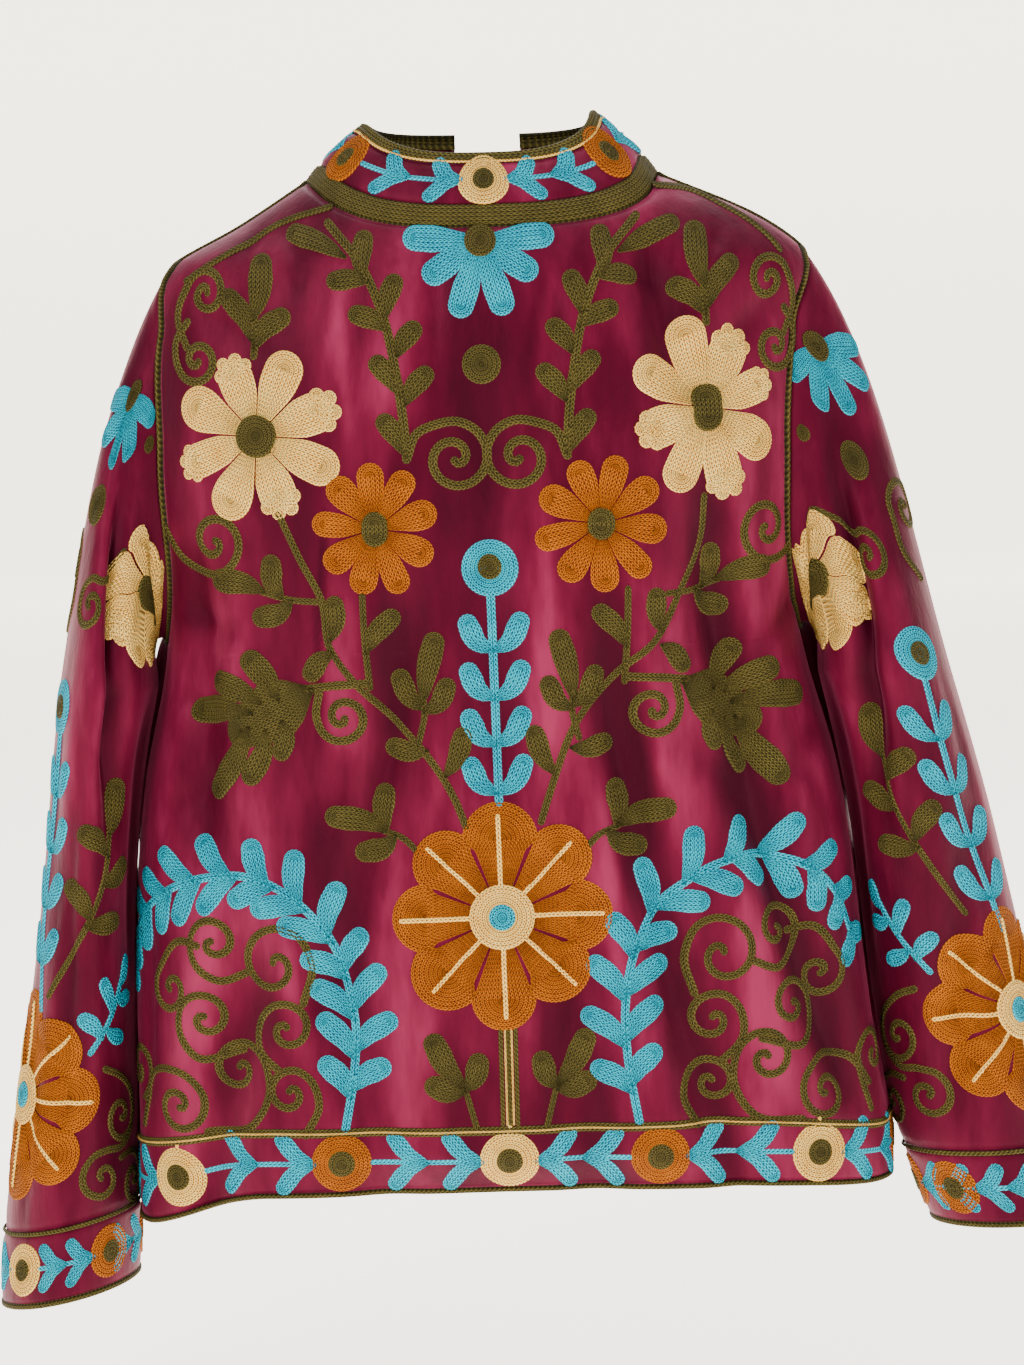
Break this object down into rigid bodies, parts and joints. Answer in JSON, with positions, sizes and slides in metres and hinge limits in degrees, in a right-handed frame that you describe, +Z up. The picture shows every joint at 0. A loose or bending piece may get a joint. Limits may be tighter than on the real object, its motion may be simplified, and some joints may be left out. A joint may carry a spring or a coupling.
{
  "type": "jacket",
  "caption": "Hollow long-sleeved velvet jacket with a stand collar, open edge-to-edge front and banded hem and cuffs.",
  "frame": {"origin": "middle of the neck opening, level with the back neck seam, where a wearer's neck and shoulders hold the jacket", "axes": "+Z up along the body's length, -Y out of the garment's back, +X towards the wearer's right"},
  "size_m": [0.7094, 0.2311, 0.7625],
  "materials": {
    "velvet": "wine velvet with a soft nap",
    "olive_binding": "dense olive thread"
  },
  "bodies": {
    "root": {"back": "velvet", "front_left": "velvet", "front_right": "velvet", "sleeve_left": "velvet", "sleeve_right": "velvet", "cuff_left": "velvet", "cuff_right": "velvet", "hem_band": "velvet", "collar": "velvet", "neck_band": "olive_binding", "collar_binding": "olive_binding", "front_binding_left": "olive_binding", "front_binding_right": "olive_binding", "hem_binding": "olive_binding", "cuff_binding_left": "olive_binding", "cuff_binding_right": "olive_binding", "shoulder_piping_left": "olive_binding", "shoulder_piping_right": "olive_binding", "armhole_piping_left": "olive_binding", "armhole_piping_right": "olive_binding"}
  },
  "joints": []
}
